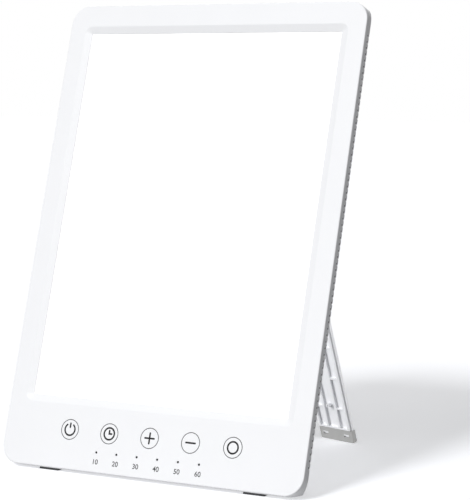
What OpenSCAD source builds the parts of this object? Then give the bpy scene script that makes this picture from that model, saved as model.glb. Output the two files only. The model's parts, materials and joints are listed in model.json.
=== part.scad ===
// Light therapy lamp: a slim edge-lit panel with touch keys, held upright by a
// ribbed leg whose hinge runs aslant across the back.
//
// The pieces are drawn in the panel's own frame, with x across it, y into its
// depth from the front face and z up its height from the bottom edge, and
// panel_pose() leans them back onto their feet. The leg is drawn folded,
// measured from the middle of its hinge, and leg_pose() swings it open.

/* [Panel] */
// Width of the panel
body_w = 180; // [160:1:240]
// Height of the panel
body_h = 254; // [230:1:320]
// Depth of the panel
body_d = 18; // [18:0.5:24]
// Corner radius of the panel
corner_r = 10.5; // [8:0.5:14]
// Angle by which the standing panel leans back
lean = 17.2; // [12:0.1:22]

/* [Front frame] */
// Thickness of the front wall
frame_t = 2; // [1.8:0.1:2.4]
// Depth of the front frame's own side, up to the seam
rim_d = 1.8; // [1.2:0.1:1.8]
// Chamfer round the front edge
edge_c = 0.5; // [0.3:0.1:0.8]
// Margin from the panel's side to the window's bevel
margin_side = 10; // [9:0.5:16]
// Margin from the panel's top to the window's bevel
margin_top = 12; // [12:0.5:18]
// Height of the control strip below the window's bevel
control_h = 34; // [34:0.5:42]
// Width of the bevel round the window
bevel_w = 3.9; // [3:0.1:5]
// Depth of the bevel round the window
bevel_d = 1.2; // [0.8:0.1:1.2]
// Corner radius of the bevel's outer edge
bevel_r = 4; // [2:0.5:6]
// Straight lip behind the bevel
lip_d = 0.4; // [0.3:0.05:0.5]
// Height of the locating lip behind the front wall
skirt_d = 1.8; // [1.4:0.1:1.9]
// Thickness of the locating lip
skirt_t = 1.4; // [1.2:0.1:1.8]

/* [Rear cover] */
// Wall of the rear cover
wall = 2; // [1.6:0.1:2.2]
// Depth at which the side wall ends and the back slopes in
side_d = 5; // [4.5:0.1:6]
// Width of the sloping border along the sides
border_side = 12; // [10:0.5:16]
// Width of the sloping border along the top and bottom
border_end = 6; // [5:0.5:7]
// Width of one square air hole in the side wall
vent_w = 0.9; // [0.6:0.05:1]
// Depth at which the air holes start
vent_front = 3.15; // [2.6:0.05:3.15]
// Pitch of the air holes, each of which has one vent slot
vent_pitch = 3.3; // [3:0.1:5]
// Height of the lowest air hole's middle above the bottom edge
vent_low = 15.4; // [14:0.2:24]
// Distance from the highest air hole to the top edge
vent_high = 17.2; // [15:0.2:24]
// Height of one vent slot
slot_h = 0.8; // [0.5:0.05:1]
// Distance by which a vent slot's middle lies below its air hole's middle
slot_drop = 0.65; // [0.5:0.05:0.9]
// Depth at which the vent slots start
slot_front = 4.3; // [4.3:0.05:4.6]
// Depth at which the vent slots end
slot_back = 7.4; // [6.5:0.1:9]

/* [Lighting] */
// Thickness of the diffuser sheet
diffuser_t = 1.5; // [1.2:0.1:1.6]
// Overlap of the sheets behind the window's sides
sheet_lap = 3.4; // [3:0.1:3.8]
// Overlap of the sheets behind the window's top and bottom
end_lap = 2.4; // [2:0.1:2.8]
// Thickness of the light guide
guide_t = 3; // [2.5:0.1:3.2]
// Thickness of the reflector sheet
reflector_t = 0.25; // [0.15:0.05:0.3]
// Thickness of the aluminium back plate
plate_t = 1; // [0.8:0.1:1.2]
// Reach of the back plate below the sheets
plate_foot = 9; // [8.4:0.1:10]
// Reach of the back plate above the sheets
plate_head = 7; // [6.8:0.1:8]
// Thickness of the light-strip boards
strip_t = 1; // [0.8:0.1:1.2]
// Height of one light-strip diode across the board
diode_h = 3; // [2:0.1:3]
// Length of one light-strip diode
diode_len = 3.5; // [2.5:0.1:4]
// Thickness of one light-strip diode
diode_t = 0.9; // [0.6:0.1:1]
// Pitch of the light-strip diodes
diode_pitch = 12; // [10:0.5:20]
// Bare length at each end of the light strips
strip_end = 2; // [1:0.5:6]

/* [Controls] */
// Pitch of the touch keys
key_pitch = 24.4; // [22:0.1:26]
// Height of the touch keys above the bottom edge
key_z = 20.8; // [19:0.1:22]
// Number of touch keys
key_count = 5; // [3:1:5]
// Radius of the contact springs behind the keys
spring_r = 4.4; // [3.5:0.1:4.8]
// Wall of the contact springs
spring_t = 0.6; // [0.4:0.1:1]
// Pitch of the indicator dots
dot_pitch = 12.3; // [11:0.1:13]
// Height of the indicator dots above the bottom edge
dot_z = 10.5; // [10:0.1:11.5]
// Number of indicator dots
dot_count = 6; // [4:1:6]
// Radius of the light pipes
pipe_r = 0.5; // [0.4:0.05:0.7]
// Depth of the control board's front face
board_y = 5.2; // [5:0.1:6]
// Thickness of the circuit boards
board_t = 1.2; // [1:0.1:1.6]
// Width of the control board
board_w = 128; // [118:1:136]
// Height of the control board
board_h = 21; // [20:0.5:21]
// Distance by which the control board's middle lies below the keys
board_low = 4.5; // [4.2:0.1:4.8]
// Distance of the control board's screws from its ends
board_in = 4; // [3:0.5:5]
// Width of the driver board
driver_w = 56; // [50:1:58]
// Height of the driver board
driver_h = 40; // [34:1:60]
// Distance of the driver board above the inlet
driver_up = 7; // [6:0.5:9]
// Length of the posts that carry the driver board
post_len = 4; // [3.8:0.1:4.4]
// Distance of the posts from the driver board's corners
post_in = 3.5; // [3:0.1:4]
// Outer radius of the driver's coil
coil_r = 7; // [5:0.5:8]
// Inner radius of the driver's coil
coil_hole_r = 3; // [1.5:0.5:4]
// Distance of the coil from the driver board's end
coil_x = 20; // [16:0.5:24]
// Distance of the coil from the driver board's lower edge
coil_z = 24; // [16:0.5:25]
// Radius of the driver's capacitors
capacitor_r = 1.8; // [1.2:0.1:1.8]
// Length of the driver's capacitors
capacitor_len = 8; // [6:0.5:9]
// Pitch of the driver's capacitors
capacitor_pitch = 9; // [7:0.5:10]
// Distance of the capacitors from the driver board's other end
capacitor_x = 17; // [13:0.5:18]
// Distance of the first capacitor from the driver board's lower edge
capacitor_z = 10; // [8:0.5:11]
// Width of the ribbon between the boards
ribbon_w = 8; // [5:0.5:10]
// Thickness of the ribbon between the boards
ribbon_t = 0.4; // [0.3:0.1:0.6]

/* [Power inlet] */
// Radius of the inlet's bore
inlet_r = 2.8; // [2.6:0.05:3.3]
// Depth of the inlet's bore
inlet_len = 8; // [7:0.1:8]
// Wall round the inlet's bore
inlet_wall = 1.1; // [0.9:0.1:1.6]
// Distance from the panel's middle to the inlet
inlet_x = 44; // [36:1:56]
// Height of the inlet above the bottom edge
inlet_z = 46; // [42:1:60]

/* [Leg] */
// Width of the leg
leg_w = 26.4; // [24:0.2:30]
// Thickness of the leg's plate
leg_t = 1.8; // [1.5:0.1:2.2]
// Height of the leg's ribs
rib_h = 1.4; // [1:0.1:1.6]
// Width of the leg's long ribs
rib_w = 1.6; // [1.2:0.1:2]
// Distance of the inner ribs from the leg's middle
rib_in = 4.6; // [3.8:0.1:5.4]
// Distance of the outer ribs from the leg's middle
rib_out = 11.2; // [10:0.1:11.2]
// Width of the cross bars
bar_w = 0.9; // [0.7:0.1:1.4]
// Pitch of the cross bars
bar_pitch = 18.75; // [14:0.25:26]
// Distance of the first cross bar from the foot
bar_first = 20.9; // [18:0.1:26]
// Radius of the catch stud
stud_r = 1.3; // [1.1:0.1:1.6]
// Radius of the hollow in the catch stud
stud_hole_r = 0.6; // [0.4:0.1:0.8]
// Length by which the catch stud stands out of the ribs
stud_out = 1; // [0.6:0.1:1.2]
// Distance of the catch stud from the foot
stud_z = 22.5; // [20:0.1:26]

/* [Leg foot] */
// Height of the rubber cap on the leg
cap_h = 8; // [7:0.1:12]
// Width of the rubber cap
cap_w = 25.2; // [23:0.1:26]
// Thickness of the rubber cap
cap_t = 2.95; // [2.8:0.05:3.1]
// Set-back of the cap's front from the rib tops
cap_back = 0.75; // [0.6:0.05:0.85]
// Wall of the rubber cap at its end and sides
cap_wall = 1.6; // [1.2:0.1:2]
// Corner radius of the rubber cap
cap_c = 0.6; // [0.3:0.1:1]
// Thickness of the tongue inside the cap
tongue_t = 1.3; // [1.1:0.05:1.4]
// Distance of the cap's two slots from the leg's middle
hook_x = 8.1; // [6:0.1:9]
// Width of the hooks that hold the cap
hook_w = 3.8; // [3:0.1:4.5]
// Height of the hooks that hold the cap
hook_h = 0.8; // [0.6:0.1:1]

/* [Hinge] */
// Distance of the hinge's middle to the right of the panel's middle
hinge_x = 18; // [10:0.5:24]
// Distance of the hinge's middle below the top edge
hinge_drop = 22.5; // [22:0.5:40]
// Distance of the hinge axis in front of the back face
hinge_in = 2.2; // [2.2:0.05:2.4]
// Slant of the hinge axis across the back
hinge_skew = 28; // [20:0.5:34]
// Length of the leg's barrel
barrel_len = 19; // [15:0.5:20]
// Radius of the leg's barrel
barrel_r = 2.1; // [1.9:0.05:2.1]
// Thickness of the neck between the leg's plate and its barrel
neck_t = 2.6; // [2.2:0.1:2.8]
// Radius of the hinge pin
pin_r = 1; // [0.8:0.05:1.2]
// Length of the heel that stops the leg
heel_len = 4.5; // [4:0.1:4.6]
// Thickness of the friction washers
washer_t = 0.5; // [0.3:0.05:0.6]
// Thickness of the bracket's ears
ear_t = 1.2; // [1:0.1:1.5]
// Thickness of the bracket's base
base_t = 1; // [0.8:0.1:1.2]
// Length of the bracket's base
base_len = 11; // [9:0.5:12]

/* [Feet] */
// Width of a front foot pad
pad_w = 12; // [8:0.5:16]
// Distance of the front foot pads from the middle
pad_x = 61.4; // [40:0.2:66]
// Depth at which the foot pads start
pad_y = 4.6; // [4:0.1:5]
// Depth at which the foot pads end
pad_end = 11.5; // [9:0.1:13]
// Distance by which the foot pads stand below the bottom edge
pad_drop = 1.05; // [0.8:0.05:2]

/* [Screws] */
// Shank radius of the case screws
screw_r = 1.25; // [1:0.05:1.5]
// Head radius of the case screws
head_r = 2.3; // [2:0.1:2.4]
// Height of the case screws' heads
head_h = 1.6; // [1.2:0.1:2]
// Depth of the wells that the case screws sit in
well_d = 5; // [4:0.5:6]
// Distance of the lower case screws below the sheets
screw_below = 4.6; // [4.4:0.1:5]
// Distance of the upper case screws above the sheets
screw_above = 4.4; // [4.2:0.1:4.8]
// Shank radius of the small screws
small_r = 0.9; // [0.7:0.05:1]
// Head radius of the small screws
small_head_r = 1.7; // [1.4:0.1:1.9]
// Height of the small screws' heads
small_head_h = 0.9; // [0.6:0.1:1]
// Distance of the outer case screws from the middle
screw_x = 62; // [50:1:68]
// Length by which the small screws stand out behind their boards
bite = 2.4; // [2:0.1:2.6]
// Length of the bracket screws below the bracket
bracket_screw_len = 3; // [2.4:0.1:3.2]
// Distance of the bracket screws from the bracket's ends
bracket_screw_in = 4; // [3.6:0.1:5]

/* [Hidden] */

$fn = 16;
outline_fn = 32;     // fineness of the panel's own rounded corners
eps = 0.01;          // overshoot of a cut past the face that it opens
root = 0.3;          // depth to which ribs, bars and posts run into what carries them
neck_root = 1;       // depth to which the barrel's neck runs into the leg's plate
gap = 0.3;           // clearance between pieces that only pass each other
slip = 0.05;         // clearance of a piece in its seat
run = 0.06;          // radial clearance of the pin in the leg's barrel
stop_gap = 0.15;     // air left between the open leg's heel and its stop
play = 0.2;          // radial play of the case screws in what they pass through
post_r = 2.6;        // radius of the case screws' posts
post_t = 0.6;        // wall of the small screws' posts
well_t = 1.2;        // wall of the case screws' wells
tub_t = 1.6;         // wall of the leg's recess inside the cover
vent_over = 1;       // overshoot of the vents past both faces of the wall
driver_clear = 13;   // distance of the driver board from the panel's middle
ribbon_gap = 0.5;    // distance of the ribbon from the back plate
ribbon_drop = 3;     // distance of the ribbon's end below the back plate
ribbon_up = 6;       // height at which the ribbon meets the driver board
pipe_bar = [1.2, 1]; // depth and half height of the bar that joins the light pipes
diode_block = [0.8, 0.9, 0.5]; // half width, depth and half height of an indicator diode
neck_gap = 0.8;      // distance from the barrel to the end of the leg's plate

half_w = body_w/2;
slope_d = body_d - side_d;
inner_back = body_d - wall;

// Window
win_w = body_w - 2*margin_side;
win_low = control_h;
win_high = body_h - margin_top;
open_w = win_w - 2*bevel_w;
open_low = win_low + bevel_w;
open_high = win_high - bevel_w;
diffuser_y = bevel_d + lip_d;
guide_y = diffuser_y + diffuser_t + slip;
reflector_y = guide_y + guide_t + slip;
plate_y = reflector_y + reflector_t + slip;
sheet_w = open_w + 2*sheet_lap;
sheet_low = open_low - end_lap;
sheet_high = open_high + end_lap;
strip_x = sheet_w/2 + slip + diode_t;            // face of the strip boards
flange_x = strip_x + strip_t;                    // inner face of the plate's flanges
plate_low = sheet_low - plate_foot;
plate_high = sheet_high + plate_head;

// Case screws: the lower row passes between the keys and the light guide
screw_low = sheet_low - screw_below;
screw_high = sheet_high + screw_above;
screw_mid = -5;                                  // the lower middle screw clears the leg's recess
screw_places = [[-screw_x, screw_low], [screw_mid, screw_low], [screw_x, screw_low],
                [-screw_x, screw_high], [screw_mid, screw_high], [screw_x, screw_high]];
sink_y = body_d - well_d;                        // seat of the case screws' heads
well_y = plate_y + plate_t;                      // front end of their wells

// Controls
key_mid = (key_count - 1)/2;
dot_mid = (dot_count - 1)/2;
board_z = key_z - board_low - board_h/2;
board_screw_places = [for (side = [-1, 1], z = [post_in, board_h - post_in])
                      [side*(board_w/2 - board_in), board_z + z]];
driver_y = inner_back - post_len - board_t;
driver_x = -driver_clear - driver_w;
driver_z = inlet_z + driver_up;
driver_posts = [for (x = [post_in, driver_w - post_in], z = [post_in, driver_h - post_in])
                [driver_x + x, driver_z + z]];
small_post_r = small_head_r + post_t;
inlet_body_r = inlet_r + inlet_wall;
inlet_body_y = plate_y + plate_t + gap;
ribbon_x = inlet_body_r + gap - inlet_x;
ribbon_y = plate_y + plate_t + ribbon_gap;

// Hinge and leg
hinge_y = body_d - hinge_in;
hinge_z = body_h - hinge_drop;
open_angle = 2*atan(tan(lean)/cos(hinge_skew));  // the foot's edge then lies level
rib_top = -(leg_t + rib_h)/2;                    // measured from the hinge axis
floor_y = rib_top + rib_h;
plate_back = floor_y + leg_t;
cap_front = rib_top + cap_back;
shoulder = barrel_r + neck_gap;                  // distance of the plate's skewed end from the axis
washer_x = barrel_len/2 + slip;
ear_x = washer_x + washer_t + slip;
ear_out = ear_x + ear_t;
recess_y = hinge_y + rib_top - gap;
recess_top = min(shoulder - 2*gap,                // the open leg's end swings just past this
                 shoulder/cos(open_angle) - hinge_in*tan(open_angle) - gap);
sink_front = recess_y - base_t - slip;
pocket_q = sqrt(pow(heel_len, 2) + pow(barrel_r, 2)) + 2*gap; // reach of the pocket past the axis
pocket_y = barrel_r*cos(open_angle) + heel_len*sin(open_angle) + 2*gap;
bracket_screw_x = ear_out - bracket_screw_in;
bracket_screw_z = -shoulder - base_len/2;

// Directions of the open leg: along[] runs down the leg, out[] through its thickness and
// wide[] across it, each as its parts across, up and into the panel
c1 = 1 - cos(open_angle);
along = [sin(hinge_skew)*cos(hinge_skew)*c1, -cos(open_angle) - pow(sin(hinge_skew), 2)*c1,
         cos(hinge_skew)*sin(open_angle)];
out = [sin(hinge_skew)*sin(open_angle), cos(hinge_skew)*sin(open_angle), cos(open_angle)];
wide = [cos(open_angle) + pow(cos(hinge_skew), 2)*c1, -sin(hinge_skew)*cos(hinge_skew)*c1,
        -sin(hinge_skew)*sin(open_angle)];
function level(v) = v[1]*cos(lean) - v[2]*sin(lean);
function rearward(v) = v[1]*sin(lean) + v[2]*cos(lean);

// The leg is just long enough for its front edge to reach the floor that the pads stand on
floor_z = -pad_drop*cos(lean) - pad_y*sin(lean);
hinge_up = hinge_z*cos(lean) - hinge_y*sin(lean);
hinge_rear = hinge_z*sin(lean) + hinge_y*cos(lean);
leg_len = (hinge_up + cap_front*level(out) - floor_z)/-level(along);
front_most = edge_c*sin(lean);
rear_most = hinge_rear + leg_len*rearward(along) + (cap_front + cap_t)*rearward(out)
            - cap_w/2*rearward(wide);

// ---- Frames ----

module panel_pose() {
    translate([0, -(front_most + rear_most)/2, -floor_z])
        rotate([-lean, 0, 0])
            children();
}

module leg_pose() {
    panel_pose()
        translate([hinge_x, hinge_y, hinge_z])
            rotate(a = open_angle, v = [cos(hinge_skew), 0, -sin(hinge_skew)])
                children();
}

// x along the hinge axis, y back, z away from the leg; measured from the hinge's middle
module hinge_frame() {
    rotate([0, hinge_skew, 0])
        children();
}

module at_hinge() {
    translate([hinge_x, hinge_y, hinge_z])
        hinge_frame()
            children();
}

// ---- Shapes that repeat ----

// An outline drawn in x and z, pushed back from depth y by t
module pushed(y, t) {
    translate([0, y + t, 0])
        rotate([90, 0, 0])
            linear_extrude(height = t)
                children();
}

module rounded_outline(w, h, r) {
    translate([-w/2 + r, 0])
        square([w - 2*r, h]);
    translate([-w/2, r])
        square([w, h - 2*r]);
    for (x = [-w/2 + r, w/2 - r], z = [r, h - r])
        translate([x, z])
            circle(r = r, $fn = outline_fn);
}

// A rounded plate whose sides draw in by inset over its depth t
module tapered_plate(w, h, r, inset, t) {
    for (x = [-w/2 + r, w/2 - r], z = [r, h - r])
        translate([x, 0, z])
            rotate([-90, 0, 0])
                cylinder(h = t, r1 = r, r2 = r - inset, $fn = outline_fn);
    translate([0, 0, r])
        linear_extrude(height = h - 2*r)
            polygon([[-w/2, 0], [w/2, 0], [w/2 - inset, t], [-w/2 + inset, t]]);
    translate([-w/2 + r, 0, 0])
        rotate([90, 0, 90])
            linear_extrude(height = w - 2*r)
                polygon([[0, 0], [0, h], [t, h - inset], [t, inset]]);
}

// A post or hole along the depth at [x, z]
module rod(place, y, t, r) {
    translate([place[0], y, place[1]])
        rotate([-90, 0, 0])
            cylinder(h = t, r = r);
}

module block(x, y, z) {
    translate([x[0], y[0], z[0]])
        cube([x[1] - x[0], y[1] - y[0], z[1] - z[0]]);
}

// A plate that fills the width w between two heights
module sheet(w, low, high, y, t) {
    block([-w/2, w/2], [y, y + t], [low, high]);
}

module mirrored(side) {
    if (side < 0)
        mirror([1, 0, 0])
            children();
    else
        children();
}

// ---- Front ----

module window_cut() {
    translate([0, 0, win_low])
        tapered_plate(win_w, win_high - win_low, bevel_r, bevel_w, bevel_d);
    block([-open_w/2, open_w/2], [bevel_d - eps, frame_t + eps], [open_low, open_high]);
    sheet(sheet_w + 2*slip, sheet_low - slip, sheet_high + slip, diffuser_y, frame_t);
}

module front_frame() {
    color("whitesmoke")
        panel_pose()
            difference() {
                union() {
                    translate([0, edge_c, body_h])
                        rotate([180, 0, 0])
                            tapered_plate(body_w, body_h, corner_r, edge_c, edge_c);
                    pushed(edge_c, rim_d - edge_c)
                        rounded_outline(body_w, body_h, corner_r);
                    skirt();
                    for (place = screw_places)
                        rod(place, rim_d, plate_y - rim_d, post_r);
                    for (place = board_screw_places)
                        rod(place, rim_d, board_y - rim_d, small_post_r);
                }
                window_cut();
                for (place = screw_places)
                    rod(place, frame_t, plate_y, screw_r);
                for (place = board_screw_places)
                    rod(place, frame_t, board_y, small_r);
                for (i = [0 : dot_count - 1])
                    rod([(i - dot_mid)*dot_pitch, dot_z], -eps, frame_t + 2*eps, pipe_r + slip);
            }
}

// The wall's inner layer and the lip that locates the rear cover
module skirt() {
    inset = wall + slip;
    translate([0, 0, inset])
        difference() {
            pushed(rim_d, frame_t - rim_d + skirt_d)
                rounded_outline(body_w - 2*inset, body_h - 2*inset, corner_r - inset);
            translate([0, 0, skirt_t])
                pushed(frame_t, skirt_d + eps)
                    rounded_outline(body_w - 2*inset - 2*skirt_t, body_h - 2*inset - 2*skirt_t,
                                    corner_r - inset - skirt_t);
        }
}

// ---- Rear cover ----

// How far the inside of a sloping border of width b stays from its outside
function slant(b) = sqrt(b*b + slope_d*slope_d);
function knee(b) = side_d - wall*(slant(b) - slope_d)/b;
function flat_edge(b) = b + wall*(slant(b) - b)/slope_d;

// The cover's form: a rounded plate whose back edges slope in
module cover_form(w, h, r, y0, y_side, y_back, in_side, in_end) {
    intersection() {
        pushed(y0, y_back - y0)
            rounded_outline(w, h, r);
        linear_extrude(height = h)
            polygon([[-w/2, y0], [w/2, y0], [w/2, y_side[0]], [w/2 - in_side, y_back],
                     [-w/2 + in_side, y_back], [-w/2, y_side[0]]]);
        translate([-w/2, 0, 0])
            rotate([90, 0, 90])
                linear_extrude(height = w)
                    polygon([[y0, 0], [y_side[1], 0], [y_back, in_end], [y_back, h - in_end],
                             [y_side[1], h], [y0, h]]);
    }
}

module cover_shell() {
    difference() {
        cover_form(body_w, body_h, corner_r, rim_d, [side_d, side_d], body_d,
                   border_side, border_end);
        translate([0, 0, wall])
            cover_form(body_w - 2*wall, body_h - 2*wall, corner_r - wall, rim_d - eps,
                       [knee(border_side), knee(border_end)], inner_back,
                       flat_edge(border_side) - wall, flat_edge(border_end) - wall);
    }
}

// The folded leg's outline with the clearance c round it, up to a skewed end at top from the axis
module leg_outline(c, top) {
    reach = leg_w/2 + c;
    polygon([[-reach, -leg_len - body_h], [reach, -leg_len - body_h],
             [reach, (-top - reach*sin(hinge_skew))/cos(hinge_skew)],
             [-reach, (-top + reach*sin(hinge_skew))/cos(hinge_skew)]]);
}

module recess_cut() {
    translate([hinge_x, 0, hinge_z])
        pushed(recess_y, body_d)
            leg_outline(2*gap, recess_top);
    at_hinge() {
        difference() {
            block([-washer_x, washer_x], [-pocket_y, body_d], [-shoulder - gap, pocket_q]);
            rotate([open_angle, 0, 0])
                block([-leg_w, leg_w], [-body_d, -barrel_r - stop_gap], [0, body_d]);
        }
        block([-ear_out - slip, ear_out + slip], [sink_front - hinge_y, body_d],
              [-shoulder + gap - slip, barrel_r + gap]);
        block([-ear_out - slip, ear_out + slip], [sink_front - hinge_y, recess_y - hinge_y + eps],
              [-shoulder - base_len, -shoulder + gap]);
        for (x = [-bracket_screw_x, bracket_screw_x])
            translate([x, sink_front - hinge_y + eps, bracket_screw_z])
                rotate([90, 0, 0])
                    cylinder(h = bracket_screw_len + gap, r = small_r);
    }
    rod([hinge_x, hinge_z - leg_len + stud_z], recess_y - tub_t - eps, tub_t + 2*eps, stud_r + gap);
}

// The recess's own walls inside the cover, and the thick part that takes the hinge
module recess_tub() {
    intersection() {
        union() {
            translate([hinge_x, 0, hinge_z])
                pushed(recess_y - tub_t, inner_back - recess_y + tub_t + eps)
                    leg_outline(2*gap + tub_t, recess_top - tub_t);
            at_hinge()
                block([-ear_out - tub_t, ear_out + tub_t],
                      [-pocket_y - tub_t, inner_back - hinge_y + eps],
                      [-shoulder - base_len - tub_t, pocket_q + tub_t]);
        }
        cover_form(body_w, body_h, corner_r, rim_d, [side_d, side_d], body_d,
                   border_side, border_end);
        block([-half_w, half_w], [0, body_d], [wall, body_h - wall]);
    }
}

function vent_count() = floor((body_h - vent_high - vent_low)/vent_pitch) + 1;

// One side's vents: a row of air holes in the side wall, and below each of them a slot
// through the edge between the side wall and the slope
module vent_cuts() {
    slot_depth = wall + border_side/slope_d*(slot_back - side_d) + vent_over;
    for (i = [0 : vent_count() - 1])
        translate([half_w, 0, vent_low + i*vent_pitch]) {
            block([-wall - vent_over, vent_over], [vent_front, vent_front + vent_w],
                  [-vent_w/2, vent_w/2]);
            block([-slot_depth, vent_over], [slot_front, slot_back],
                  [-slot_drop - slot_h/2, -slot_drop + slot_h/2]);
        }
}

module rear_cover() {
    color("white")
        panel_pose()
            difference() {
                union() {
                    cover_shell();
                    recess_tub();
                    for (place = screw_places)
                        rod(place, well_y, inner_back + eps - well_y, head_r + well_t);
                    for (place = driver_posts)
                        rod(place, driver_y + board_t, post_len + eps, small_post_r);
                }
                recess_cut();
                for (place = screw_places) {
                    rod(place, 0, body_d, screw_r + play);
                    rod(place, sink_y, body_d, head_r + gap);
                }
                for (place = driver_posts)
                    rod(place, driver_y, board_t + bite + gap, small_r);
                rod([-inlet_x, inlet_z], inner_back - eps, wall + 2*eps, inlet_body_r + slip);
                for (side = [-1, 1])
                    mirrored(side)
                        vent_cuts();
            }
}

// ---- Lighting ----

module diffuser_sheet() {
    color("white")
        panel_pose()
            sheet(sheet_w, sheet_low, sheet_high, diffuser_y, diffuser_t);
}

module light_guide() {
    color("azure")
        panel_pose()
            sheet(sheet_w, sheet_low, sheet_high, guide_y, guide_t);
}

module reflector_sheet() {
    color("snow")
        panel_pose()
            sheet(sheet_w, sheet_low, sheet_high, reflector_y, reflector_t);
}

// A folded aluminium tray whose flanges carry the light strips
module back_plate() {
    color("silver")
        panel_pose()
            difference() {
                union() {
                    sheet(2*(flange_x + plate_t), plate_low, plate_high, plate_y, plate_t);
                    for (side = [-1, 1])
                        mirrored(side)
                            block([flange_x, flange_x + plate_t], [guide_y, plate_y + plate_t],
                                  [sheet_low, sheet_high]);
                }
                for (place = screw_places)
                    rod(place, plate_y - eps, plate_t + 2*eps, screw_r + play);
            }
}

module strip_board(side) {
    color("white")
        panel_pose()
            mirrored(side)
                block([strip_x, strip_x + strip_t], [guide_y, plate_y], [sheet_low, sheet_high]);
}

module strip_diodes(side) {
    count = floor((sheet_high - sheet_low - diode_len - 2*strip_end)/diode_pitch);
    mid = (sheet_low + sheet_high)/2;
    y = guide_y + (guide_t - diode_h)/2;
    color("khaki")
        panel_pose()
            mirrored(side)
                for (i = [0 : count])
                    translate([0, 0, mid + (i - count/2)*diode_pitch])
                        block([strip_x - diode_t, strip_x], [y, y + diode_h],
                              [-diode_len/2, diode_len/2]);
}

module strip_board_left() {
    strip_board(-1);
}

module strip_board_right() {
    strip_board(1);
}

module strip_diodes_left() {
    strip_diodes(-1);
}

module strip_diodes_right() {
    strip_diodes(1);
}

// ---- Controls and power ----

module control_board() {
    color("darkgreen")
        panel_pose()
            difference() {
                sheet(board_w, board_z, board_z + board_h, board_y, board_t);
                for (place = board_screw_places)
                    rod(place, board_y - eps, board_t + 2*eps, small_r + slip);
            }
}

module touch_springs() {
    color("goldenrod")
        panel_pose()
            for (i = [0 : key_count - 1])
                difference() {
                    rod([(i - key_mid)*key_pitch, key_z], frame_t, board_y - frame_t, spring_r);
                    rod([(i - key_mid)*key_pitch, key_z], frame_t - eps, board_y - frame_t + 2*eps,
                        spring_r - spring_t);
                }
}

module indicator_diodes() {
    color("ivory")
        panel_pose()
            for (i = [0 : dot_count - 1])
                translate([(i - dot_mid)*dot_pitch, 0, dot_z])
                    block([-diode_block[0], diode_block[0]], [board_y - diode_block[1], board_y],
                          [-diode_block[2], diode_block[2]]);
}

// One moulding: a bar behind the wall with a pipe to each dot
module light_pipes() {
    bar_half = dot_mid*dot_pitch + pipe_r + pipe_bar[1];
    color("gainsboro")
        panel_pose() {
            block([-bar_half, bar_half], [frame_t, frame_t + pipe_bar[0]],
                  [dot_z - pipe_bar[1], dot_z + pipe_bar[1]]);
            for (i = [0 : dot_count - 1])
                rod([(i - dot_mid)*dot_pitch, dot_z], slip, board_y - diode_block[1] - 2*slip, pipe_r);
        }
}

module driver_board() {
    color("darkgreen")
        panel_pose()
            difference() {
                block([driver_x, driver_x + driver_w], [driver_y, driver_y + board_t],
                      [driver_z, driver_z + driver_h]);
                for (place = driver_posts)
                    rod(place, driver_y - eps, board_t + 2*eps, small_r + slip);
            }
}

module driver_coil() {
    centre = [driver_x + coil_x, driver_z + coil_z];
    color("dimgray")
        panel_pose()
            difference() {
                rod(centre, driver_y + board_t, post_len - gap, coil_r);
                rod(centre, driver_y + board_t - eps, post_len, coil_hole_r);
            }
}

module driver_capacitors() {
    color("black")
        panel_pose()
            for (i = [0 : 2])
                translate([driver_x + driver_w - capacitor_x, driver_y + board_t + capacitor_r,
                           driver_z + capacitor_z + i*capacitor_pitch])
                    rotate([0, 90, 0])
                        cylinder(h = capacitor_len, r = capacitor_r);
}

// Flat ribbon from the control board round the back plate's edge to the driver board
module board_ribbon() {
    y0 = board_y + board_t;
    y1 = ribbon_y + ribbon_t;
    z0 = plate_low - ribbon_drop;
    z1 = driver_z + ribbon_up;
    color("lightgray")
        panel_pose()
            translate([ribbon_x, 0, 0])
                rotate([90, 0, 90])
                    linear_extrude(height = ribbon_w)
                        polygon([[y0, z0 - ribbon_t], [y1, z0 - ribbon_t], [y1, z1], [driver_y, z1],
                                 [driver_y, z1 + ribbon_t], [ribbon_y, z1 + ribbon_t], [ribbon_y, z0],
                                 [y0, z0]]);
}

module power_inlet() {
    color("dimgray")
        panel_pose()
            difference() {
                union() {
                    block([-inlet_x - inlet_body_r, -inlet_x + inlet_body_r], [inlet_body_y, inner_back],
                          [inlet_z - inlet_body_r, driver_z]);
                    rod([-inlet_x, inlet_z], inner_back - eps, wall + eps, inlet_body_r);
                }
                rod([-inlet_x, inlet_z], body_d - inlet_len, inlet_len + eps, inlet_r);
            }
}

// ---- Fasteners ----

module small_screw(place, y, t) {
    rod(place, y - t, t, small_r - slip);
    rod(place, y, small_head_h, small_head_r);
}

module board_screws() {
    color("silver")
        panel_pose() {
            for (place = board_screw_places)
                small_screw(place, board_y + board_t, board_t + bite);
            for (place = driver_posts)
                translate([0, 2*driver_y, 0])
                    mirror([0, 1, 0])
                        small_screw(place, driver_y, board_t + bite);
        }
}

module case_screws() {
    color("silver")
        panel_pose()
            for (place = screw_places) {
                rod(place, frame_t + 2*gap, sink_y - frame_t - 2*gap + eps, screw_r - slip);
                rod(place, sink_y, head_h, head_r);
            }
}

// ---- Feet ----

// Rubber wedges under the bottom edge, flat on the floor when the panel leans
module front_feet() {
    rise = tan(lean);
    back_slope = border_end/slope_d;
    color("dimgray")
        panel_pose()
            for (side = [-1, 1])
                mirrored(side)
                    translate([pad_x - pad_w/2, 0, 0])
                        rotate([90, 0, 90])
                            linear_extrude(height = pad_w)
                                polygon([[pad_y, -pad_drop],
                                         [pad_end, -pad_drop + rise*(pad_end - pad_y)],
                                         [pad_end, back_slope*(pad_end - side_d)],
                                         [side_d, 0], [pad_y, 0]]);
}

// ---- Hinge ----

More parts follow.
